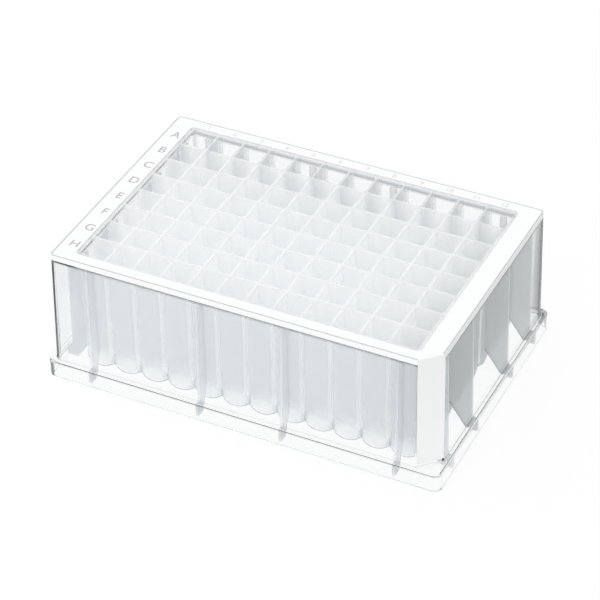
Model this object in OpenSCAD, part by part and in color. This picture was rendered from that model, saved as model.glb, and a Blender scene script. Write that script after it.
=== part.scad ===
// Deep-well plate: 96 square wells with round bottoms in a clear moulding, with a white top
// border moulded onto it. Origin: centre of the footprint, on the surface it stands on.
// +X runs towards the last column, +Y towards the first row, +Z up.

/* [Footprint] */
// Length of the base flange
base_length = 127.76; // [127:0.01:128.5]
// Width of the base flange
base_width = 85.48; // [84.9:0.01:86]
// Height of the whole plate
plate_height = 44; // [42:0.1:48]
// Height of the base flange
flange_height = 5.9; // [4:0.1:8]
// Wall thickness of the base flange
flange_wall = 1; // [0.8:0.1:1.1]
// Corner radius of the base flange
flange_radius = 2.5; // [1:0.1:4]

/* [Skirt] */
// Width of the flange ledge at the two ends
ledge_end = 1.7; // [1.5:0.1:2]
// Width of the flange ledge along the two sides
ledge_side = 1.3; // [1.2:0.1:1.5]
// How far each skirt wall leans in for each millimetre of height
skirt_slope = 0.022; // [0.005:0.001:0.03]
// Wall thickness of the skirt
skirt_wall = 1.1; // [0.8:0.1:1.3]
// Corner radius of the skirt at its top
skirt_radius = 3; // [2.5:0.1:4]
// Distance of the cut corner from the centre, at the top
cut_distance = 68.1; // [67.5:0.1:69]

/* [Wells] */
// Number of columns
columns = 12; // [4:1:12]
// Number of rows
rows = 8; // [4:1:8]
// Spacing of the wells
pitch = 9; // [8.9:0.05:9.1]
// Width of a well at its mouth
mouth_width = 8.2; // [7.8:0.1:8.3]
// Width of a well where its round bottom begins
bottom_width = 7.2; // [6.8:0.1:7.4]
// Radius of the round bottom inside
bottom_radius = 5.35; // [5.2:0.05:5.4]
// Wall thickness of a tube at its round bottom
tube_wall = 0.6; // [0.5:0.05:0.7]
// Gap between two tubes just under the deck
gap_top = 0.15; // [0.1:0.05:0.2]
// Gap between two tubes where the round bottoms begin
gap_bottom = 0.45; // [0.3:0.05:0.6]
// Height of the lowest point of the tubes
tube_foot = 1.8; // [1:0.1:3]
// Width of the rim around the outermost wells
rim_wall = 1.1; // [0.9:0.1:1.3]
// How far the rim lies below the top of the border
rim_drop = 0.25; // [0.1:0.05:0.5]

/* [Deck and border] */
// Thickness of the clear deck under the border
deck_thickness = 1.2; // [0.8:0.1:1.6]
// Thickness of the white border
border_thickness = 1.6; // [1.2:0.1:2]
// Corner radius of the border
border_radius = 1.7; // [1:0.1:2.4]
// Size of the chamfer along the border's top edge
border_chamfer = 0.35; // [0.1:0.05:0.5]
// Width of the white strip down the cut corner
strip_width = 7.1; // [5:0.1:7.5]
// Thickness of the white strip
strip_thickness = 0.8; // [0.5:0.1:0.9]
// Height of the strip's lower end
strip_foot = 7; // [6.5:0.1:20]

/* [Webs] */
// Thickness of the webs between the wells and the skirt
web_thickness = 0.9; // [0.6:0.1:1.2]
// Height of the webs' lower edge inside the flange
web_foot = 1; // [0.5:0.1:2]
// Height where the webs' slanted edge meets the outermost tubes
web_knee = 9; // [8.5:0.1:15]

/* [Hidden] */
$fn = 96;

sink = 0.4;                                          // overlap that joins neighbouring shapes
over = 1;                                            // how far a cutting shape runs past its work
deck_top = plate_height - border_thickness;
deck_under = deck_top - deck_thickness;
rim_top = plate_height - rim_drop;
ledge_under = flange_height - flange_wall;

base_x = base_length / 2;                            // half sizes of the outlines
base_y = base_width / 2;
skirt_x = base_x - ledge_end - lean(flange_height);  // at the skirt's top
skirt_y = base_y - ledge_side - lean(flange_height);

bowl_z = tube_foot + bottom_radius + tube_wall;  // centre height of the round bottoms
first_x = -(columns - 1) / 2 * pitch;
first_y = (rows - 1) / 2 * pitch;
rim_x = (columns - 1) / 2 * pitch + mouth_width / 2 + rim_wall;
rim_y = (rows - 1) / 2 * pitch + mouth_width / 2 + rim_wall;
rim_radius = 1.5;
web_heel = 1;          // level part of a web's lower edge, inside the skirt
corner_far = 90;       // outer distance and width of the shape that cuts the corner off
corner_span = 60;

// Columns or rows that a web runs out from, counted from 0: the outermost two and two between
function web_places(n) = [0, floor(n / 3), n - 1 - floor(n / 3), n - 1];

function column_x(i) = first_x + i * pitch;
function row_y(j) = first_y - j * pitch;

// How far a skirt wall stands out at height z, measured from its top
function lean(z) = skirt_slope * (deck_top - z);

// Half width of a well, and of the tube around it, at height z
function well_half(z) = bottom_width / 2
    + (mouth_width - bottom_width) / 2 * (z - bowl_z) / (rim_top - bowl_z);
function tube_half(z) = (pitch - gap_bottom) / 2
    + (gap_bottom - gap_top) / 2 * (z - bowl_z) / (deck_under - bowl_z);

// Rounded box whose corner circles keep their centres at (x, y) from the middle, while the
// profile gives their radius and height from the bottom up as [radius, z]
module rounded_box(x, y, profile) {
    n = len(profile);
    function side(c) = concat(
        [for (p = profile) [c + p[0], p[1]]],
        [for (i = [n - 1 : -1 : 0]) [-c - profile[i][0], profile[i][1]]]);
    rotate([90, 0, 0]) linear_extrude(height = 2 * y, center = true) polygon(side(x));
    rotate([90, 0, 90]) linear_extrude(height = 2 * x, center = true) polygon(side(y));
    for (sx = [-1, 1], sy = [-1, 1])
        translate([sx * x, sy * y, 0]) rotate_extrude()
            polygon(concat([[0, profile[0][1]]], profile, [[0, profile[n - 1][1]]]));
}

// A slab across the cut corner, between two distances from the middle at its top
module corner_slab(near, far, low, high, width) {
    rotate([0, 0, -45]) translate([0, (skirt_x - skirt_y) / sqrt(2), 0]) rotate([90, 0, 0])
        linear_extrude(height = width, center = true)
            polygon([[near + lean(low), low], [far + lean(low), low],
                     [far + lean(high), high], [near + lean(high), high]]);
}

// Everything outside the plane of the cut corner, moved in by depth
module beyond_cut(depth) {
    corner_slab(cut_distance - depth, corner_far, -2 * over, plate_height + over, corner_span);
}

module strip(top) {
    corner_slab(cut_distance - strip_thickness, cut_distance, strip_foot, top, strip_width);
}

// Square column with two leaning pairs of sides and a round bottom; half is its half width
// at the bowl's centre height and at height top
module tapered_bowl(radius, half_low, half_top, top) {
    slope = (half_top - half_low) / (top - bowl_z);
    foot = bowl_z - radius - over;
    half_foot = half_low + slope * (foot - bowl_z);
    outline = [[-half_foot, foot], [half_foot, foot], [half_top, top], [-half_top, top]];
    intersection() {
        rotate([90, 0, 0]) linear_extrude(height = pitch + 2 * over, center = true) polygon(outline);
        rotate([90, 0, 90]) linear_extrude(height = pitch + 2 * over, center = true) polygon(outline);
        translate([0, 0, bowl_z]) rotate_extrude()
            intersection() {
                union() {
                    circle(radius);
                    translate([-radius, 0]) square([2 * radius, top - bowl_z + over]);
                }
                translate([0, -radius - over]) square([radius, top + radius + 2 * over]);
            }
    }
}

module tube() {
    top = deck_under + sink;
    tapered_bowl(bottom_radius + tube_wall, tube_half(bowl_z), tube_half(top), top);
}

module well() {
    top = rim_top + sink;
    tapered_bowl(bottom_radius, well_half(bowl_z), well_half(top), top);
}

module each_well() {
    for (i = [0 : columns - 1], j = [0 : rows - 1])
        translate([column_x(i), row_y(j), 0]) children();
}

module flange() {
    difference() {
        rounded_box(base_x - flange_radius, base_y - flange_radius,
            [[flange_radius, 0], [flange_radius, flange_height]]);
        rounded_box(base_x - flange_radius, base_y - flange_radius,
            [[flange_radius - flange_wall, -over], [flange_radius - flange_wall, ledge_under]]);
    }
}

// The leaning skirt, solid inside, between two heights and moved in by depth
module skirt_body(low, high, depth) {
    difference() {
        rounded_box(skirt_x - skirt_radius, skirt_y - skirt_radius,
            [[skirt_radius + lean(low) - depth, low], [skirt_radius + lean(high) - depth, high]]);
        beyond_cut(depth);
    }
}

// Upright plate from the outermost tubes out to the skirt and into the flange; tube, skirt
// and base are half sizes of the tube field, the skirt's top and the base on that side
module web(tube, skirt, base) {
    wall = skirt - skirt_wall / 2;
    toe = base - flange_wall / 2;
    rotate([90, 0, 0]) linear_extrude(height = web_thickness, center = true)
        polygon([[tube, deck_under + sink], [wall, deck_under + sink],
                 [wall + lean(ledge_under), ledge_under + sink], [toe, ledge_under + sink],
                 [toe, web_foot], [wall - web_heel, web_foot], [tube, web_knee]]);
}

module webs() {
    out_x = column_x(columns - 1) + bottom_radius / sqrt(2) + tube_wall / 2;
    out_y = row_y(0) + bottom_radius / sqrt(2) + tube_wall / 2;
    for (j = web_places(rows), turn = [0, 180])
        translate([0, row_y(j), 0]) rotate([0, 0, turn]) web(out_x, skirt_x, base_x);
    for (i = web_places(columns), turn = [90, -90])
        translate([column_x(i), 0, 0]) rotate([0, 0, turn]) web(out_y, skirt_y, base_y);
}

module deck() {
    difference() {
        skirt_body(deck_under, deck_top, skirt_wall / 2);
        strip(deck_top + over);
    }
    rounded_box(rim_x - rim_radius, rim_y - rim_radius,
        [[rim_radius, deck_under], [rim_radius, rim_top]]);
}

module plate() {
    color([0.86, 0.9, 0.92, 0.45])
        difference() {
            union() {
                difference() {
                    union() {
                        flange();
                        skirt_body(ledge_under, deck_top, 0);
                    }
                    skirt_body(-over, deck_under, skirt_wall);
                    strip(deck_top + over);
                }
                deck();
                each_well() tube();
                webs();
            }
            each_well() well();
        }
}

module border() {
    color("white") {
        difference() {
            rounded_box(skirt_x - border_radius, skirt_y - border_radius,
                [[border_radius, deck_top],
                 [border_radius + lean(plate_height - border_chamfer), plate_height - border_chamfer],
                 [border_radius + lean(plate_height) - border_chamfer, plate_height]]);
            rounded_box(rim_x - rim_radius, rim_y - rim_radius,
                [[rim_radius, deck_top - over], [rim_radius, plate_height + over]]);
            beyond_cut(0);
        }
        strip(deck_top + sink);
    }
}

plate();
border();
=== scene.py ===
import math
import time

import bmesh
import bpy
from mathutils import Matrix, Vector


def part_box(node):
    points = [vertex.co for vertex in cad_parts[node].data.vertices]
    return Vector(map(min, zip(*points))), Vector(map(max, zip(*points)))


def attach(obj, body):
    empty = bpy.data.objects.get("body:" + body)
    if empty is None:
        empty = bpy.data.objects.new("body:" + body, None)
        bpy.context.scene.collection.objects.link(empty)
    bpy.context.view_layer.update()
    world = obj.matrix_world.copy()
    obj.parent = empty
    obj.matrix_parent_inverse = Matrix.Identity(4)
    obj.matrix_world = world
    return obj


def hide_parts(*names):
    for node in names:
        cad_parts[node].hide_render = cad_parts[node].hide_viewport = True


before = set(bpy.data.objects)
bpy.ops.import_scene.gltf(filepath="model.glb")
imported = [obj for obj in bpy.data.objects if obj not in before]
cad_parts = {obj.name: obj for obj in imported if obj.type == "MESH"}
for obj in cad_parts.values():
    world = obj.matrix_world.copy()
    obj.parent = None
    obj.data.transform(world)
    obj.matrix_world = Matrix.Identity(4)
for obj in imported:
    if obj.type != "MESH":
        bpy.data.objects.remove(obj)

mm = 0.001
startTime = time.time()
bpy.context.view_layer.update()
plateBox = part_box("plate")
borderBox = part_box("border")


def say(text):
    print(f"[{time.time() - startTime:5.1f} s] {text}")


# sizes that every piece shares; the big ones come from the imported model

plate = {
    "columns": 12,
    "rows": 8,
    "pitch": 9.0 * mm,
    "baseX": plateBox[1][0],            # half length and half width of the flange
    "baseY": plateBox[1][1],
    "flangeRadius": 2.5 * mm,
    "flangeTop": 5.9 * mm,
    "flangeWall": 1.0 * mm,
    "ledgeEnd": 1.7 * mm,               # ledge between flange and skirt, at the two ends
    "ledgeSide": 1.3 * mm,              # and along the two sides
    "skirtWall": 1.1 * mm,
    "skirtRadius": 1.8 * mm,
    "slope": 0.022,                     # how far the skirt leans out for its height
    "cut": 68.1 * mm,                   # cut corner, from the middle
    "cutRound": 0.05 * mm,
    "deckTop": 42.4 * mm,
    "deckUnder": 41.2 * mm,
    "rimTop": plateBox[1][2],
    "rimWall": 1.1 * mm,                # around the outermost wells
    "rimRadius": 1.5 * mm,
    "mouth": 8.2 * mm,
    "top": borderBox[1][2],
    "borderRadius": 1.7 * mm,
    "cornerSteps": 8,                   # facets in each rounded corner
}
plate["lean"] = plate["slope"] * (plate["deckTop"] - plate["flangeTop"])
plate["skirtX"] = plate["baseX"] - plate["ledgeEnd"] - plate["lean"]      # at the skirt's top
plate["skirtY"] = plate["baseY"] - plate["ledgeSide"] - plate["lean"]
plate["rimX"] = (plate["columns"] - 1) / 2 * plate["pitch"] + plate["mouth"] / 2 + plate["rimWall"]
plate["rimY"] = (plate["rows"] - 1) / 2 * plate["pitch"] + plate["mouth"] / 2 + plate["rimWall"]


def columnX(i):
    return (i - (plate["columns"] - 1) / 2) * plate["pitch"]


def rowY(j):
    return ((plate["rows"] - 1) / 2 - j) * plate["pitch"]


def lean(z):
    # how far the skirt stands out at this height
    return plate["slope"] * (plate["deckTop"] - z)


# mesh helpers

def makeObject(name, bm, materials, sharpFrom=40):
    # edges that turn by more than sharpFrom degrees stay sharp
    mesh = bpy.data.meshes.new(name)
    bmesh.ops.recalc_face_normals(bm, faces=bm.faces)
    bm.to_mesh(mesh)
    bm.free()
    obj = bpy.data.objects.new(name, mesh)
    bpy.context.scene.collection.objects.link(obj)
    for material in materials:
        mesh.materials.append(material)
    mesh.shade_smooth()
    mesh.set_sharp_from_angle(angle=math.radians(sharpFrom))
    return obj


def filletPoints(before, corner, after, radius, steps):
    # arc that rounds a corner between its two neighbours
    a = (before - corner).normalized()
    b = (after - corner).normalized()
    half = a.angle(b) / 2
    reach = radius / math.tan(half)
    centre = corner + (a + b).normalized() * (radius / math.sin(half))
    start = corner + a * reach - centre
    turn = math.pi - 2 * half
    side = 1 if start.cross(corner + b * reach - centre) > 0 else -1
    points = []
    for k in range(steps + 1):
        t = side * turn * k / steps
        c, s = math.cos(t), math.sin(t)
        points.append(centre + Vector((c * start.x - s * start.y, s * start.x + c * start.y)))
    return points


def outline(halfX, halfY, radius, cut=None):
    # rounded rectangle whose corner at +X -Y is either cut or two half arcs, so that all outlines match
    if cut is None:
        shift = radius * (2 - math.sqrt(2))
        pair = [(halfX - shift, -halfY, radius), (halfX, shift - halfY, radius)]
    else:
        reach = cut * math.sqrt(2)
        pair = [(reach - halfY, -halfY, plate["cutRound"]), (halfX, halfX - reach, plate["cutRound"])]
    corners = [(-halfX, -halfY, radius)] + pair + [(halfX, halfY, radius), (-halfX, halfY, radius)]
    points = []
    for k, (x, y, r) in enumerate(corners):
        before, after = corners[k - 1], corners[(k + 1) % len(corners)]
        points += filletPoints(Vector(before[:2]), Vector((x, y)), Vector(after[:2]), r, plate["cornerSteps"])
    return points


families = {                            # half length, half width, corner radius, and whether a corner is cut
    "skirt": (plate["skirtX"], plate["skirtY"], plate["skirtRadius"], True),
    "flange": (plate["baseX"], plate["baseY"], plate["flangeRadius"], False),
    "rim": (plate["rimX"], plate["rimY"], plate["rimRadius"], False),
    "border": (plate["skirtX"], plate["skirtY"], plate["borderRadius"], True),
}


def familyOutline(family, offset):
    halfX, halfY, radius, isCut = families[family]
    return outline(halfX + offset, halfY + offset, radius + offset, plate["cut"] + offset if isCut else None)


def sweepSection(bm, section, steps=4):
    # section: closed list of (family, offset, z, fillet); every point becomes a ring around the plate
    rings = []
    for k, (family, offset, z, fillet) in enumerate(section):
        middle = families[family][0]
        here = Vector((middle + offset, z))
        near = []
        for other in (section[k - 1], section[(k + 1) % len(section)]):
            near.append(Vector((families[other[0]][0] + other[1], other[2])))
        spots = filletPoints(near[0], here, near[1], fillet, steps) if fillet else [here]
        for spot in spots:
            rings.append([bm.verts.new((p.x, p.y, spot.y)) for p in familyOutline(family, spot.x - middle)])
    count = len(rings[0])
    for a, b in zip(rings, rings[1:] + rings[:1]):
        for k in range(count):
            bm.faces.new((a[k], a[(k + 1) % count], b[(k + 1) % count], b[k]))
    return rings


# material helpers

def newMaterial(name):
    material = bpy.data.materials.new(name)
    material.use_nodes = True
    material.node_tree.nodes.clear()
    return material, material.node_tree


def addNode(tree, kind, inputs=None, **settings):
    # an input that is given a socket is linked to it, any other is set
    node = tree.nodes.new("ShaderNode" + kind)
    for name, value in settings.items():
        setattr(node, name, value)
    for name, value in (inputs or {}).items():
        if isinstance(value, bpy.types.NodeSocket):
            tree.links.new(value, node.inputs[name])
        else:
            node.inputs[name].default_value = value
    return node


def addMath(tree, operation, first, second=0):
    return addNode(tree, "Math", {0: first, 1: second}, operation=operation).outputs[0]


def addRange(tree, value, low, high, start=0, end=1, kind="LINEAR"):
    inputs = {"Value": value, "From Min": low, "From Max": high, "To Min": start, "To Max": end}
    return addNode(tree, "MapRange", inputs, interpolation_type=kind).outputs[0]


def mixColours(tree, factor, first, second, blend="MIX"):
    inputs = {"Factor": factor, "A": first, "B": second}
    return addNode(tree, "Mix", inputs, data_type="RGBA", blend_type=blend).outputs["Result"]


def mixShaders(tree, factor, first, second):
    return addNode(tree, "MixShader", {0: factor, 1: first.outputs[0], 2: second.outputs[0]})


def showSurface(tree, shader):
    addNode(tree, "OutputMaterial", {"Surface": shader.outputs[0]})


def outerSide(tree, side):
    # 1 where a ray meets the outer side of a face, and 0 inside
    return addMath(tree, "SUBTRACT", 1, side.outputs["Backfacing"])


def wavyBump(tree, scale, strength, distance):
    # faint waviness that a moulded surface has; gives its normal and its pattern
    where = addNode(tree, "TexCoord").outputs["Object"]
    noise = addNode(tree, "TexNoise", {"Vector": where, "Scale": scale, "Detail": 3}).outputs["Fac"]
    bump = addNode(tree, "Bump", {"Height": noise, "Strength": strength, "Distance": distance})
    return bump.outputs["Normal"], noise


# clear plastic of the outer wall

shellLook = {
    "colour": (0.975, 0.982, 0.982, 1),
    "roughness": 0.03,
    "ior": 1.49,
    "edge": (0.03, 0.033, 0.033, 1),    # painted dark lines in the rounded corners, where they are looked along
    "edgeFrom": 0.2,
    "edgeTo": 0.5,
    "roundFrom": 0.05,                  # product of the normal's x and y, on a rounded corner
    "roundTo": 0.2,
    "uncut": 90 * mm,                   # x - y is less than this away from the cut corner
    "paintedShade": (0.77, 0.79, 0.785, 1),    # painted shade towards the corner of the first row and the last column
    "corner": (0.3, 0.32, 0.32, 1),     # and deeper painted shade in that corner
    "paintedShadeFrom": 92 * mm,               # x + y where this shading begins and ends
    "paintedShadeTo": 102 * mm,
    "paintedShadeStops": (0.3, 0.67),
    "cornerShadeStop": 0.72,
    "paintedBandShade": (0.68, 0.69, 0.7, 1),       # painted shade under the white border and above the ledge
    "bandDepth": 0.9 * mm,
    "footDepth": 0.4 * mm,
    "footShare": 0.8,
    "soft": 0.2 * mm,                   # how softly the bands end
    "ledgeDepth": 0.9 * mm,             # shading above the ledge starts this far below its top
    "uprightFrom": 0.7,                 # the normal's z on upright walls
    "uprightTo": 0.3,
    "waves": (90, 0.04, 0.3 * mm),      # scale, strength and depth of its waviness
}


def clearPlastic(name, look):
    material, tree = newMaterial(name)
    side = addNode(tree, "NewGeometry")
    turned = addNode(tree, "SeparateXYZ", {0: side.outputs["Normal"]}).outputs
    spot = addNode(tree, "SeparateXYZ", {0: addNode(tree, "TexCoord").outputs["Object"]}).outputs
    slant = addNode(tree, "LayerWeight", {"Blend": 0.5}).outputs["Facing"]
    # painted shade: the rounded corners darken where they are looked along
    both = addMath(tree, "MULTIPLY", turned["X"], turned["Y"])
    corner = addRange(tree, addMath(tree, "ABSOLUTE", both), look["roundFrom"], look["roundTo"])
    along = addRange(tree, slant, look["edgeFrom"], look["edgeTo"], kind="SMOOTHSTEP")
    uncut = addMath(tree, "LESS_THAN", addMath(tree, "SUBTRACT", spot["X"], spot["Y"]), look["uncut"])
    dark = addMath(tree, "MULTIPLY", addMath(tree, "MULTIPLY", along, uncut), corner)
    tint = mixColours(tree, dark, look["colour"], look["edge"])
    # painted shade: the plastic darkens towards one corner, above the ledge, where that side lies in shade
    total = addMath(tree, "ADD", spot["X"], spot["Y"])
    ramp = addNode(tree, "ValToRGB", {"Fac": addRange(tree, total, look["paintedShadeFrom"], look["paintedShadeTo"])})
    ramp.color_ramp.elements[0].color = (1, 1, 1, 1)
    ramp.color_ramp.elements[1].color = look["corner"]
    ramp.color_ramp.elements[1].position = look["cornerShadeStop"]
    for place in look["paintedShadeStops"]:
        ramp.color_ramp.elements.new(place).color = look["paintedShade"]
    above = addMath(tree, "GREATER_THAN", spot["Z"], plate["flangeTop"] - look["ledgeDepth"])
    tint = mixColours(tree, above, tint, ramp.outputs["Color"], "MULTIPLY")
    # painted shade: a dim strip lies just under the white border
    near = plate["deckTop"] - look["bandDepth"]
    top = addRange(tree, spot["Z"], near - look["soft"], near)
    # and painted shade at the foot of the upright walls, on their outer side
    near = plate["flangeTop"] + look["footDepth"]
    foot = addRange(tree, spot["Z"], near + look["soft"], near, 0, look["footShare"])
    upright = addRange(tree, addMath(tree, "ABSOLUTE", turned["Z"]), look["uprightFrom"], look["uprightTo"])
    wall = addMath(tree, "MULTIPLY", addMath(tree, "MULTIPLY", foot, above), upright)
    outer = addMath(tree, "MULTIPLY", wall, outerSide(tree, side))
    tint = mixColours(tree, addMath(tree, "MAXIMUM", top, outer), tint, look["paintedBandShade"])
    normal, noise = wavyBump(tree, *look["waves"])
    showSurface(tree, addNode(tree, "BsdfPrincipled", {
        "Base Color": tint, "Roughness": look["roughness"], "IOR": look["ior"], "Transmission Weight": 1,
        "Normal": normal}))
    return material


# milky plastic of the wells, tubes and webs

wellLook = {
    "haze": (0.994, 0.996, 0.998, 1),
    "clear": (0.999, 0.9995, 0.9995, 1),
    "slantFrom": 0.3,
    "slantTo": 0.75,
    "hazeAmount": 0.52,                 # haze seen straight on,
    "hazeSlant": 0.6,                   # at a slant
    "hazeEdge": 0.6,                    # and in the upper edges
    "forward": 0.5,                     # share of the haze that goes on through the wall
    "gloss": 0.15,
    "shine": 0.1,                       # roughness of that gloss
    "ior": 1.45,
    "flow": 0.1,                        # strength of the flow marks
    "flowScale": (260, 260, 50),
    "waves": (500, 0.06, 0.1 * mm),
    "milkyFrom": 0.3 * mm,              # depth under the rim's top from which the upper edges are milky
    "milkyTo": 0.1 * mm,
    "levelFrom": 0.4,                   # the normal's z on them
    "levelTo": 0.8,
    "edge": (0.5, 0.53, 0.55, 1),       # painted grey shade of a wall that is looked along
    "edgeFrom": 0.75,
    "edgeAmount": 0,
    "fadeFrom": 34.5 * mm,              # heights between which the haze fades
    "fadeTo": 35.5 * mm,
    "fadeShare": 1,                     # to this share of itself
}
tubeLook = dict(wellLook, haze=(0.975, 0.98, 0.985, 1), hazeAmount=0.03, hazeSlant=0.3, gloss=0.3)
# painted shade: the round bottoms have a greyer haze
bowlShadeLook = dict(tubeLook, haze=(0.82, 0.84, 0.86, 1), hazeAmount=0.25, hazeSlant=0.5,
                edgeFrom=0.55, edgeAmount=0.9)
# painted shade: the front of the last row has a greyer haze
tubeFrontShadeLook = dict(tubeLook, haze=(0.68, 0.71, 0.74, 1), hazeAmount=0.35, hazeSlant=0.5,
                 edgeFrom=0.5, edgeAmount=0.9, fadeFrom=11 * mm, fadeTo=7 * mm, fadeShare=0.05)
# painted light: the upright corners of the tubes are milkier and lighter
tubeCornerLightLook = dict(tubeLook, haze=(0.98, 0.985, 0.99, 1), hazeAmount=0.35, hazeSlant=0.45)
# painted shade: the end of the last column has a dark grey haze
tubeEndShadeLook = dict(wellLook, haze=(0.32, 0.37, 0.38, 1), hazeAmount=0.15, hazeSlant=0.78, gloss=0.3)
windowLook = dict(tubeLook, hazeAmount=0.12, fadeShare=0.1)
# painted shade: the dividers of the first row have a greyer haze
dividerShadeLook = dict(wellLook, haze=(0.74, 0.77, 0.79, 1), hazeAmount=0.3, hazeSlant=0.55)

webLook = dict(wellLook, haze=(0.86, 0.88, 0.9, 1), clear=(0.97, 0.975, 0.98, 1), hazeAmount=0.4,
               hazeSlant=0.3, hazeEdge=0, gloss=0.3, flow=0.15, edgeAmount=0.5)
# painted shade: the webs at the last column have a darker haze
webShadeLook = dict(webLook, haze=(0.52, 0.57, 0.575, 1), clear=(0.93, 0.945, 0.945, 1), hazeAmount=0.62)
webEndLook = dict(webLook, haze=(0.7, 0.74, 0.77, 1), hazeAmount=0.45)
# painted shade: the lower parts of the side webs have a darker haze
webToeShadeLook = dict(webLook, haze=(0.66, 0.69, 0.71, 1), clear=(0.94, 0.95, 0.955, 1), hazeAmount=0.55,
                  hazeSlant=0.65)
# painted shade: the slanted edges at the last column are nearly black
webFootShadeLook = dict(webLook, haze=(0.1, 0.11, 0.12, 1), clear=(0.4, 0.42, 0.43, 1), hazeAmount=0.6,
                   hazeSlant=0.6)
# painted light: the edges along the skirt are lighter
webHeelLightLook = dict(webLook, haze=(0.97, 0.98, 0.98, 1), clear=(1, 1, 1, 1), hazeAmount=0.6, hazeSlant=0.6)


def milkyPlastic(name, look):
    material, tree = newMaterial(name)
    side = addNode(tree, "NewGeometry")
    where = addNode(tree, "TexCoord").outputs["Object"]
    upward = addNode(tree, "SeparateXYZ", {0: side.outputs["Normal"]}).outputs["Z"]
    height = addNode(tree, "SeparateXYZ", {0: where}).outputs["Z"]
    slant = addNode(tree, "LayerWeight", {"Blend": 0.5}).outputs["Facing"]
    # a wall seen straight on is nearly clear, and turns milky at a slant
    amount = addRange(tree, slant, look["slantFrom"], look["slantTo"], look["hazeAmount"], look["hazeSlant"],
                      "SMOOTHSTEP")
    # faint upright flow marks
    stretch = addNode(tree, "Mapping", {"Vector": where, "Scale": look["flowScale"]}).outputs[0]
    flow = addNode(tree, "TexNoise", {"Vector": stretch, "Scale": 1, "Detail": 3}).outputs["Fac"]
    marks = addRange(tree, flow, 0, 1, 1 - look["flow"], 1 + look["flow"])
    # some walls lose their haze towards one end
    fade = addRange(tree, height, look["fadeFrom"], look["fadeTo"], 1, look["fadeShare"], "SMOOTHSTEP")
    haze = addMath(tree, "MULTIPLY", addMath(tree, "MULTIPLY", amount, marks), fade)
    # the upper edges are milky down the length of the plastic
    high = addRange(tree, height, plate["rimTop"] - look["milkyFrom"], plate["rimTop"] - look["milkyTo"])
    level = addRange(tree, upward, look["levelFrom"], look["levelTo"], 0, look["hazeEdge"])
    haze = addMath(tree, "MAXIMUM", haze, addMath(tree, "MULTIPLY", high, level))
    # part of the light that meets the haze comes back, and part goes on
    back = addNode(tree, "BsdfDiffuse", {"Color": look["haze"]})
    onward = addNode(tree, "BsdfTranslucent", {"Color": look["haze"]})
    clear = addNode(tree, "BsdfTransparent", {"Color": look["clear"]})
    wall = mixShaders(tree, haze, clear, mixShaders(tree, look["forward"], back, onward))
    # painted shade: walls that are looked along turn greyer
    along = addRange(tree, slant, look["edgeFrom"], 1, 0, look["edgeAmount"], "SMOOTHSTEP")
    wall = mixShaders(tree, along, wall, addNode(tree, "BsdfTransparent", {"Color": look["edge"]}))
    # only the outer side is glossy
    normal, noise = wavyBump(tree, *look["waves"])
    gloss = addNode(tree, "BsdfGlossy", {"Roughness": look["shine"], "Normal": normal})
    fresnel = addNode(tree, "Fresnel", {"IOR": look["ior"]}).outputs[0]
    outer = addMath(tree, "MULTIPLY", fresnel, outerSide(tree, side))
    showSurface(tree, mixShaders(tree, addMath(tree, "MULTIPLY", outer, look["gloss"]), wall, gloss))
    return material


# white plastic and print

whiteLook = {
    "colour": (0.93, 0.935, 0.935, 1),
    "roughness": 0.38,
    "specular": 0.45,
    "waves": (700, 0.05, 0.1 * mm),
}
# painted shade: grey of the fine seam and, below, of the border's inner side
seamShadeLook = {
    "colour": (0.55, 0.56, 0.57, 1),
    "roughness": 0.5,
    "specular": 0.5,
    "waves": (900, 0.1, 0.1 * mm),
}
innerShadeLook = dict(seamShadeLook, colour=(0.72, 0.73, 0.74, 1))
inkLook = {
    "colour": (0.22, 0.18, 0.2, 1),
    "roughness": 0.6,
    "paler": 0.5,                       # share of white in its palest spots
    "waves": (2500, 0.1, 0.05 * mm),
}
paleInkLook = dict(inkLook, colour=(0.5, 0.48, 0.49, 1))


def solidPlastic(name, look):
    material, tree = newMaterial(name)
    normal, noise = wavyBump(tree, *look["waves"])
    showSurface(tree, addNode(tree, "BsdfPrincipled", {
        "Base Color": look["colour"], "Roughness": look["roughness"], "Specular IOR Level": look["specular"],
        "Normal": normal}))
    return material


def printInk(name, look):
    # a thin print, a little uneven in its strength
    material, tree = newMaterial(name)
    normal, noise = wavyBump(tree, *look["waves"])
    pale = [look["paler"] + (1 - look["paler"]) * c for c in look["colour"]]
    showSurface(tree, addNode(tree, "BsdfPrincipled", {
        "Base Color": mixColours(tree, noise, look["colour"], pale), "Roughness": look["roughness"],
        "Normal": normal}))
    return material


# clear outer wall: deck, skirt and hollow flange in one section

def buildShell():
    size = {
        "gap": 0.02 * mm,              # to the well field and the white border
        "deckRound": 0.12 * mm,
        "ledgeRound": 0.35 * mm,       # hollow between skirt and ledge
        "flangeRound": 0.3 * mm,
        "footRound": 0.2 * mm,
        "insideRound": 0.3 * mm,
    }
    foot, under = plate["flangeTop"], plate["flangeTop"] - plate["flangeWall"]
    deckTop, deckUnder = plate["deckTop"] - size["gap"], plate["deckUnder"]
    bm = bmesh.new()
    sweepSection(bm, [
        ("rim", size["gap"], deckTop, 0),
        ("skirt", 0, deckTop, size["deckRound"]),
        ("skirt", lean(foot), foot, size["ledgeRound"]),
        ("flange", 0, foot, size["flangeRound"]),
        ("flange", 0, 0, size["footRound"]),
        ("flange", -plate["flangeWall"], 0, size["footRound"]),
        ("flange", -plate["flangeWall"], under, size["footRound"]),
        ("skirt", lean(under) - plate["skirtWall"], under, size["footRound"]),
        ("skirt", lean(deckUnder) - plate["skirtWall"], deckUnder, size["insideRound"]),
        ("rim", size["gap"], deckUnder, 0),
    ])
    bmesh.ops.remove_doubles(bm, verts=bm.verts, dist=1e-7)
    return makeObject("clearShell", bm, [clearPlastic("clearPlastic", shellLook)])


# the wells: top grid, tapered square pockets with round bottoms, and the tubes around them

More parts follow.
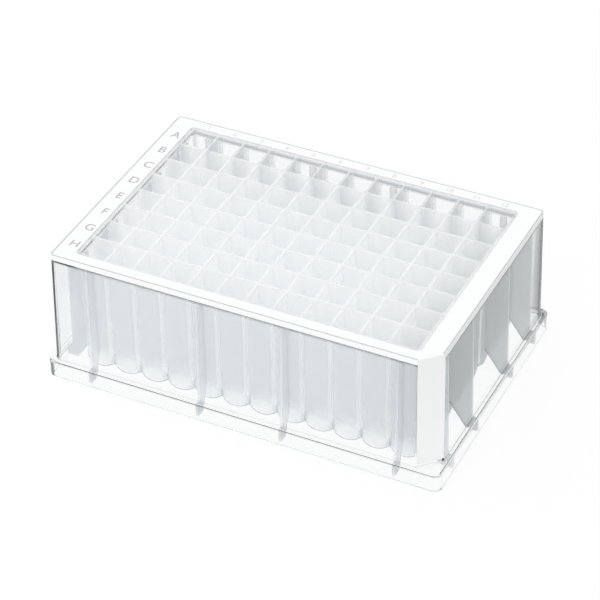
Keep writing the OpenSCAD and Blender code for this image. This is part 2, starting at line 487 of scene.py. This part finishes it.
wells = {
    "angles": (0, 14, 27, 36.5, 41.5, 45, 48.5, 53.5, 63, 76),     # in each quarter, crowded at the corner
    "blend": 36,                   # how sharply the square turns into the round
    "mouth": 4.1 * mm,             # half widths
    "low": 3.6 * mm,
    "radius": 5.35 * mm,
    "wall": 0.6 * mm,
    "foot": 1.8 * mm,
    "tubeTop": 4.425 * mm,
    "tubeLow": 4.275 * mm,
    "tubeRound": 1.0 * mm,         # upright corners of the tubes
    "mouthRadius": 5.65 * mm,      # trims the mouth's corners
    "lip": 0.12 * mm,              # rounding of the mouth's edge
    "lipSteps": 3,
    "bowlSteps": 8,
}
wells["bowl"] = wells["foot"] + wells["radius"] + wells["wall"]      # height of the round bottom's centre
wells["around"] = [math.radians(90 * q + a) for q in range(4) for a in wells["angles"]]

wellFinishesAndPaintedLight = {
    "inside": milkyPlastic("milkyPlastic", wellLook),
    "tube": milkyPlastic("tubePlastic", tubeLook),              # outer side of the tubes,
    "end": milkyPlastic("tubeEndShadePlastic", tubeEndShadeLook),             # where it faces the end at the last column, greyer as painted shade,
    "front": milkyPlastic("tubeFrontShadePlastic", tubeFrontShadeLook),       # and the side at the last row, also greyer as painted shade
    "bowl": milkyPlastic("bowlShadePlastic", bowlShadeLook),              # round bottoms, greyer as painted shade
    "window": milkyPlastic("windowPlastic", windowLook),        # first row and column, clear at the top
    "divider": milkyPlastic("dividerShadePlastic", dividerShadeLook),     # walls between the wells of the first row, greyer as painted shade
    "corner": milkyPlastic("tubeCornerLightPlastic", tubeCornerLightLook),    # upright corners of the tubes, lighter as painted light
}
wellSlots = {name: k for k, name in enumerate(wellFinishesAndPaintedLight)}


def roundSquare(half, radius, angle, corner):
    # distance from the axis at this angle: the smaller of a square with round corners and a circle, blended
    c, s = sorted((abs(math.cos(angle)), abs(math.sin(angle))), reverse=True)
    square = half / c
    inner = half - corner
    if square * s > inner:                           # on the corner's arc
        middle = inner * (c + s)
        square = middle + math.sqrt(max(middle ** 2 - 2 * inner ** 2 + corner ** 2, 0))
    p = wells["blend"]
    return (square ** -p + radius ** -p) ** (-1 / p)


def wellRing(bm, x, y, z, half, radius, corner=0):
    ring = []
    for angle in wells["around"]:
        r = roundSquare(half, radius, angle, corner)
        ring.append(bm.verts.new((x + r * math.cos(angle), y + r * math.sin(angle), z)))
    return ring


def cellRing(bm, x, y, z):
    # square outline of one cell of the grid
    ring = []
    for angle in wells["around"]:
        r = plate["pitch"] / 2 / max(abs(math.cos(angle)), abs(math.sin(angle)))
        ring.append(bm.verts.new((x + r * math.cos(angle), y + r * math.sin(angle), z)))
    return ring


def joinRings(bm, a, b, finish="inside"):
    count = len(a)
    for k in range(count):
        face = bm.faces.new((a[k], a[(k + 1) % count], b[(k + 1) % count], b[k]))
        face.material_index = wellSlots[finish]


def bowlRings(bm, x, y, half, radius, slope, corner=0):
    rings = []
    for k in range(wells["bowlSteps"]):
        angle = math.pi / 2 * k / wells["bowlSteps"]
        down = radius * math.sin(angle)
        rings.append(wellRing(bm, x, y, wells["bowl"] - down, half - slope * down, radius * math.cos(angle),
                              corner))
    tip = bm.verts.new((x, y, wells["bowl"] - radius))
    return rings, tip


def closeBowl(bm, ring, tip, finish="inside"):
    for k in range(len(ring)):
        bm.faces.new((ring[k], ring[(k + 1) % len(ring)], tip)).material_index = wellSlots[finish]


def wallFinish(outer, i, j, dx, dy, z):
    # finish of a wall of the well in column i and row j, painted shade and light included, by its place from
    # the well's axis
    away, corner = 0.8 * wells["low"], 0.85 * wells["tubeLow"]
    bowl = z < wells["bowl"]
    if outer:
        if j == plate["rows"] - 1 and dy < (0 if bowl else -away) and abs(dx) < corner:
            return "front"
        if i == plate["columns"] - 1 and dx > (0.2 * away if bowl else away):
            return "end" if j < plate["rows"] - 1 or dy > 0 else "bowl"
        if bowl:
            return "bowl"
        if abs(dx) > corner and abs(dy) > corner:
            return "corner"
    if j == 0 and dy > away and abs(dx) < away or i == 0 and dx < -away and abs(dy) < away:
        return "window"
    if j == 0 and not outer and abs(dx) > away and z > wells["bowl"]:
        return "divider"
    return "tube" if outer else "inside"


def buildWells():
    bm = bmesh.new()
    top, under, bowl, lip = plate["rimTop"], plate["deckUnder"], wells["bowl"], wells["lip"]
    slopeIn = (wells["mouth"] - wells["low"]) / (top - bowl)
    slopeOut = (wells["tubeTop"] - wells["tubeLow"]) / (under - bowl)
    tops, bottoms = [], []
    for i in range(plate["columns"]):
        for j in range(plate["rows"]):
            x, y = columnX(i), rowY(j)
            tops.append(cellRing(bm, x, y, top))
            mouth = []
            for k in range(wells["lipSteps"] + 1):
                angle = math.pi / 2 * k / wells["lipSteps"]
                grow = lip * (1 - math.sin(angle))
                mouth.append(wellRing(bm, x, y, top - lip * (1 - math.cos(angle)),
                                      wells["mouth"] - slopeIn * lip + grow, wells["mouthRadius"] + grow))
            low, tip = bowlRings(bm, x, y, wells["low"], wells["radius"], slopeIn)
            rings = [tops[-1]] + mouth + low
            for a, b in zip(rings, rings[1:]):
                joinRings(bm, a, b)
            closeBowl(bm, low[-1], tip)
            bottoms.append(cellRing(bm, x, y, under))
            radius = wells["radius"] + wells["wall"]
            tube = [wellRing(bm, x, y, under, wells["tubeTop"], radius, wells["tubeRound"])]
            tubeLow, tip = bowlRings(bm, x, y, wells["tubeLow"], radius, slopeOut, wells["tubeRound"])
            tube += tubeLow
            for a, b in zip(tube, tube[1:]):
                joinRings(bm, a, b, "tube")
            joinRings(bm, bottoms[-1], tube[0])
            closeBowl(bm, tube[-1], tip, "tube")
            for face in {f for ring in low + tube for v in ring for f in v.link_faces}:
                c = face.calc_center_median()
                outer = face.material_index == wellSlots["tube"]
                face.material_index = wellSlots[wallFinish(outer, i, j, c.x - x, c.y - y, c.z)]
    bmesh.ops.remove_doubles(bm, verts=[v for ring in tops + bottoms for v in ring], dist=1e-6)
    # rim around the field, from the outer edge of the cells out to the rim's side and down
    edges = [e for e in bm.edges if e.is_boundary]
    upper = [e for e in edges if e.verts[0].co.z > (top + under) / 2]
    halfX, halfY = plate["columns"] / 2 * plate["pitch"], plate["rows"] / 2 * plate["pitch"]
    inX, inY = plate["rimX"] - plate["rimRadius"], plate["rimY"] - plate["rimRadius"]

    def rimSpot(co, inset):
        x, y = co.x / halfX * plate["rimX"], co.y / halfY * plate["rimY"]
        if abs(x) > inX and abs(y) > inY:
            away = Vector((abs(x) - inX, abs(y) - inY)).normalized() * (plate["rimRadius"] - inset)
            return math.copysign(inX + away.x, x), math.copysign(inY + away.y, y)
        if abs(x) > inX:
            return math.copysign(plate["rimX"] - inset, x), y
        return x, math.copysign(plate["rimY"] - inset, y)

    levels = [(lip, top), (lip * 0.3, top - lip * 0.3), (0, top - lip), (0, under)]
    copies = {}
    for e in upper:
        for v in e.verts:
            if v not in copies:
                copies[v] = [v] + [bm.verts.new((*rimSpot(v.co, inset), z)) for inset, z in levels]
    for e in upper:
        a, b = copies[e.verts[0]], copies[e.verts[1]]
        for k in range(len(a) - 1):
            bm.faces.new((a[k], b[k], b[k + 1], a[k + 1]))
    # and back below to the cells
    lowVerts = {v for e in edges for v in e.verts if v.co.z < (top + under) / 2}
    byPlace = {(round(v.co.x, 6), round(v.co.y, 6)): v for v in lowVerts}
    for e in upper:
        a, b = e.verts
        lowA = byPlace[(round(a.co.x, 6), round(a.co.y, 6))]
        lowB = byPlace[(round(b.co.x, 6), round(b.co.y, 6))]
        bm.faces.new((copies[a][-1], copies[b][-1], lowB, lowA))
    return makeObject("wellField", bm, wellFinishesAndPaintedLight.values(), 35)


# webs between the wells and the skirt

webFinishesAndPaintedLight = {
    "side": milkyPlastic("webPlastic", webLook),                # webs along the two sides
    "foot": milkyPlastic("webFootShadePlastic", webFootShadeLook),        # slanted lower edges at the last column, nearly black as painted shade
    "heel": milkyPlastic("webHeelLightPlastic", webHeelLightLook),        # edges along the skirt, lighter as painted light
    "endShade": milkyPlastic("webShadePlastic", webShadeLook),        # webs at the last column, darker as painted shade
    "end": milkyPlastic("webEndPlastic", webEndLook),           # webs at the first column and the cut corner
    "toe": milkyPlastic("webToeShadePlastic", webToeShadeLook),           # lower parts of those along the sides, darker as painted shade inside the flange
}
webSlots = {name: k for k, name in enumerate(webFinishesAndPaintedLight)}


def buildWebs():
    size = {
        "thickness": 0.9 * mm,
        "toe": 1.0 * mm,               # height of the lower edge inside the flange
        "heel": 1.0 * mm,              # level part of that edge, inside the skirt
        "knee": 9.0 * mm,              # height where the slanted edge meets the tubes
        "bead": 0.6 * mm,              # height of the finish that follows the lower edge
        "bevel": 0.1 * mm,
        "bevelFrom": 0.3,              # smallest turn of an edge that is bevelled, in radians
        "gap": 0.03 * mm,              # to the outer wall
        "into": 0.2 * mm,              # how far a web runs into its tube
        "rows": (0, 2, 5, 7),
        "columns": (0, 4, 7, 11),
    }
    bm = bmesh.new()
    tubeX = columnX(plate["columns"] - 1) + wells["tubeLow"] - size["into"]
    tubeY = rowY(0) + wells["tubeLow"] - size["into"]
    under = plate["flangeTop"] - plate["flangeWall"] - size["gap"]

    def web(tube, skirt, base, place, turn, finish):
        wall = skirt - plate["skirtWall"] - size["gap"]
        heel = wall - size["heel"]
        inner = base - plate["flangeWall"] - size["gap"]
        high = plate["deckUnder"] - size["gap"]
        toe, knee, bead = size["toe"], size["knee"], size["bead"]
        upper = [(tube, high), (wall + lean(high), high), (wall + lean(under), under), (inner, under),
                 (inner, toe + bead), (heel, toe + bead), (tube, knee + bead)]
        share = (under - toe - bead) / (knee - toe)
        lower = [(inner, toe), (heel, toe), (tube, knee), (heel + share * (tube - heel), under)]
        half = size["thickness"] / 2
        move = Matrix.Translation(place) @ Matrix.Rotation(turn, 4, "Z")
        faces = [[bm.verts.new(move @ Vector((r, s, z))) for r, z in upper + lower] for s in (-half, half)]
        body = webSlots[finish]
        low = webSlots["toe" if finish == "side" else finish]
        slanted = webSlots["foot" if finish == "endShade" else finish]
        for v in faces:
            bm.faces.new((v[0], v[1], v[2], v[10], v[6])).material_index = body
            bm.faces.new((v[2], v[3], v[4], v[5], v[10])).material_index = low
            bm.faces.new((v[4], v[7], v[8], v[5])).material_index = low
            bm.faces.new((v[5], v[8], v[9], v[6], v[10])).material_index = slanted
        rim = [0, 1, 2, 3, 4, 7, 8, 9, 6]
        finishes = {1: webSlots["heel"], 8: slanted}
        for k, n in zip(rim, rim[1:] + rim[:1]):
            edge = bm.faces.new((faces[0][n], faces[0][k], faces[1][k], faces[1][n]))
            edge.material_index = finishes.get(k, body)

    for j in size["rows"]:
        for turn in (0, math.pi):
            finish = "end" if turn or j == plate["rows"] - 1 else "endShade"
            web(tubeX, plate["skirtX"], plate["baseX"], Vector((0, rowY(j), 0)), turn, finish)
    for i in size["columns"]:
        for turn in (math.pi / 2, -math.pi / 2):
            web(tubeY, plate["skirtY"], plate["baseY"], Vector((columnX(i), 0, 0)), turn, "side")
    bmesh.ops.recalc_face_normals(bm, faces=bm.faces)
    corners = [e for e in bm.edges if e.calc_face_angle(0) > size["bevelFrom"]]
    bmesh.ops.bevel(bm, geom=corners, offset=size["bevel"], segments=2, affect="EDGES", profile=0.5)
    return makeObject("wellWebs", bm, webFinishesAndPaintedLight.values(), 30)


# white top border with the strip down the cut corner

def buildBorder():
    size = {
        "print": 0.02 * mm,            # the print stands on the top by this much
        "gap": 0.02 * mm,
        "edge": 0.1 * mm,
        "seamOut": 0.15 * mm,          # fine seam along the outer edge
        "seamIn": 0.55 * mm,
        "seamDepth": 0.08 * mm,
        "seamEnd": 1.0 * mm,           # how far it ends from the cut corner
        "shadeDepth": 0.5 * mm,
        "proud": 0.08 * mm,            # how far the strip stands off the skirt
        "stripDepth": 0.07 * mm,
        "stripLeft": 4.0 * mm,
        "stripRight": 4.25 * mm,
    }
    top = plate["top"] - size["print"]
    edge = lean(top)
    bm = bmesh.new()
    # the section runs up the inner side, over the top with its fine seam, down the outer side and back below
    rings = sweepSection(bm, [
        ("rim", size["gap"], plate["deckTop"], 0),
        ("rim", size["gap"], top - size["shadeDepth"], 0),
        ("rim", size["gap"], top - size["edge"], 0),
        ("rim", size["gap"] + size["edge"], top, 0),
        ("border", edge - size["seamIn"], top, 0),
        ("border", edge - size["seamIn"], top - size["seamDepth"], 0),
        ("border", edge - size["seamOut"], top - size["seamDepth"], 0),
        ("border", edge - size["seamOut"], top, 0),
        ("border", edge, top, size["edge"]),
        ("border", size["proud"], plate["deckTop"], 0),
        ("border", size["proud"] - size["stripDepth"], plate["deckTop"], 0),
    ])
    # painted shade: the seam and the inner side are grey, as they lie in shade between white and clear
    # plastic
    finishes = {
        "white": solidPlastic("whitePlastic", whiteLook),
        "seam": solidPlastic("seamShadePlastic", seamShadeLook),
        "inner": solidPlastic("innerShadePlastic", innerShadeLook),
    }
    slots = {name: k for k, name in enumerate(finishes)}
    shaded = {(1, 2): slots["inner"], (4, 5): slots["seam"], (5, 6): slots["seam"]}
    index = {v: k for k, ring in enumerate(rings) for v in ring}
    for face in bm.faces:
        middle = face.calc_center_median()
        if middle.x - middle.y < (plate["cut"] - size["seamEnd"]) * math.sqrt(2):
            face.material_index = shaded.get(tuple(sorted({index[v] for v in face.verts})), slots["white"])
    bmesh.ops.remove_doubles(bm, verts=bm.verts, dist=1e-7)
    # the strip runs down the cut corner, from the underside of the ring
    outward, along = Vector((1, -1, 0)).normalized(), Vector((1, 1, 0)).normalized()
    middle = (plate["skirtX"] - plate["skirtY"]) / math.sqrt(2)
    left, right, depth = -size["stripLeft"], size["stripRight"], size["stripDepth"]
    ends = []
    for z in (plate["deckTop"], borderBox[0][2]):
        end = []
        for inset, side in ((0, left), (0, right), (depth, right), (depth, left)):
            out = plate["cut"] + lean(z) + size["proud"] - inset
            end.append(bm.verts.new(outward * out + along * (middle + side) + Vector((0, 0, z))))
        bm.faces.new(end)
        ends.append(end)
    for k in range(4):
        n = (k + 1) % 4
        bm.faces.new((ends[0][k], ends[0][n], ends[1][n], ends[1][k]))
    return makeObject("topBorder", bm, finishes.values())


# printed row letters and column numbers

ink = printInk("printInk", inkLook)
paleInk = printInk("paleInk", paleInkLook)
letters = {"x": -57.1 * mm, "drop": -1.0 * mm, "height": 3.2 * mm}
numbers = {"y": 38.3 * mm, "height": 1.9 * mm}


def buildPrint(name, text, x, y, height, colour):
    size = {
        "capital": 0.72,               # height of the font's capitals
        "thinner": -0.03 * mm,         # thins the strokes
        "thickness": 0.01 * mm,
        "under": 0.012 * mm,           # its middle lies this far under the model's top
        "curveSteps": 6,
    }
    curve = bpy.data.curves.new(name, "FONT")
    curve.body = text
    curve.size = height / size["capital"]
    curve.align_x = "CENTER"
    curve.offset = size["thinner"]
    curve.extrude = size["thickness"]
    curve.resolution_u = size["curveSteps"]
    drawn = bpy.data.objects.new(name, curve)
    bpy.context.scene.collection.objects.link(drawn)
    graph = bpy.context.evaluated_depsgraph_get()
    mesh = bpy.data.meshes.new_from_object(drawn.evaluated_get(graph))
    bpy.data.objects.remove(drawn)
    obj = bpy.data.objects.new(name, mesh)
    bpy.context.scene.collection.objects.link(obj)
    mesh.transform(Matrix.Translation((x, y - height / 2, plate["top"] - size["under"])))
    mesh.materials.clear()
    mesh.materials.append(colour)
    return obj


shell = buildShell()
say("clear shell done")
field = buildWells()
say(f"wells done, {len(field.data.polygons)} faces")
webs = buildWebs()
say("webs done")
border = buildBorder()
marks = []
for j, letter in enumerate("ABCDEFGH"):
    y = rowY(j) + letters["drop"]
    marks.append(buildPrint("rowLetter" + letter, letter, letters["x"], y, letters["height"], ink))
for i in range(plate["columns"]):
    name, y = f"columnNumber{i + 1}", numbers["y"]
    marks.append(buildPrint(name, str(i + 1), columnX(i), y, numbers["height"], paleInk))
say("border and print done")

for piece in (shell, field, webs):
    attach(piece, "root")
    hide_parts("plate")
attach(border, "root")
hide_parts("border")
for mark in marks:
    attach(mark, "root")


# floor, light, camera

def whiteToCamera(tree, strength):
    # plain white as the camera sees it, and this strength for all other light
    seen = addNode(tree, "LightPath").outputs["Is Camera Ray"]
    return addNode(tree, "Mix", {"Factor": seen, "A": strength, "B": 1}).outputs[0]


def buildFloor():
    size = {
        "colour": (0.96, 0.96, 0.96, 1),
        "width": 5.0,
        "drop": 0.06 * mm,
        "glow": 0.9,                   # how much of its tone the floor has of itself
        "near": 0.2,                   # seen in the plastic, the glow dims between these distances
        "far": 0.6,
        "farGlow": 0.2,
    }
    bm = bmesh.new()
    bmesh.ops.create_grid(bm, x_segments=2, y_segments=2, size=size["width"] / 2)
    bmesh.ops.translate(bm, verts=bm.verts, vec=(0, 0, -size["drop"]))
    material, tree = newMaterial("paleFloor")
    material.cycles.emission_sampling = "NONE"
    where = addNode(tree, "TexCoord").outputs["Object"]
    away = addNode(tree, "VectorMath", {0: where}, operation="LENGTH").outputs["Value"]
    dim = addRange(tree, away, size["near"], size["far"], 1, size["farGlow"], "SMOOTHSTEP")
    body = addNode(tree, "BsdfDiffuse", {"Color": size["colour"]})
    glow = addNode(tree, "Emission", {"Strength": whiteToCamera(tree, dim)})
    showSurface(tree, mixShaders(tree, size["glow"], body, glow))
    makeObject("floor", bm, [material])


def buildWorld():
    # one broad soft light from above, a little to the left and the front
    light = {"from": (-0.35, -0.4, 0.85), "dark": 0.1, "bright": 1.25, "start": -0.5, "full": 0.75}
    world = bpy.data.worlds.new("softStudio")
    bpy.context.scene.world = world
    world.use_nodes = True
    world.cycles.sampling_method = "NONE"
    tree = world.node_tree
    where = addNode(tree, "TexCoord").outputs["Generated"]
    toward = addNode(tree, "VectorMath", {0: where, 1: Vector(light["from"]).normalized()},
                     operation="DOT_PRODUCT").outputs["Value"]
    level = addRange(tree, toward, light["start"], light["full"], light["dark"], light["bright"],
                     "SMOOTHSTEP")
    background = tree.nodes["Background"]
    background.inputs["Color"].default_value = (1, 1, 1, 1)
    tree.links.new(whiteToCamera(tree, level), background.inputs["Strength"])


def buildCamera():
    view = {
        "place": (0.26738, -0.54079, 0.47903),
        "turn": (2.18006, 0.49199, -0.26019),      # axis times angle, from the plate's frame to its own
        "lens": 152.0,
        "sensor": 36,
    }
    camera = bpy.data.cameras.new("camera")
    camera.sensor_width = view["sensor"]
    camera.lens = view["lens"]
    turn = Vector(view["turn"])
    right, down, forward = Matrix.Rotation(turn.length, 3, turn.normalized())
    back = Matrix((right, -down, -forward)).transposed()
    obj = bpy.data.objects.new("camera", camera)
    obj.matrix_world = Matrix.Translation(view["place"]) @ back.to_4x4()
    bpy.context.scene.collection.objects.link(obj)
    bpy.context.scene.camera = obj


buildFloor()
buildWorld()
buildCamera()
scene = bpy.context.scene
scene.view_settings.view_transform = "Standard"
scene.cycles.max_bounces = 48
scene.cycles.diffuse_bounces = 24
scene.cycles.glossy_bounces = 16
scene.cycles.transmission_bounces = 32
scene.cycles.transparent_max_bounces = 128
scene.cycles.blur_glossy = 0              # else light is lost on its way through the clear walls
say("stage ready")
